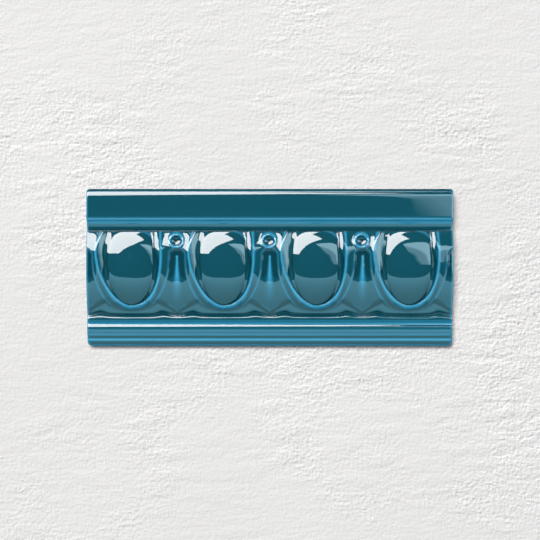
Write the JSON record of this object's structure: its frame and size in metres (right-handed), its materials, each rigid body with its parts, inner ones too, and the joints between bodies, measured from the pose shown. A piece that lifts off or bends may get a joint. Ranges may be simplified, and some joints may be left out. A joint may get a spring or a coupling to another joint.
{
  "type": "moulding tile",
  "caption": "Glazed ceramic border tile with egg-and-dart relief between a plain upper band and stepped lower mouldings, lying on its flat back.",
  "frame": {"origin": "centre of the flat back face", "axes": "+X along the tile, +Y up the wall towards the plain band, +Z out of the wall"},
  "size_m": [0.152, 0.0654, 0.0199],
  "materials": {
    "glaze": "gloss"
  },
  "bodies": {
    "root": {"moulding_tile": "glaze"}
  },
  "joints": []
}
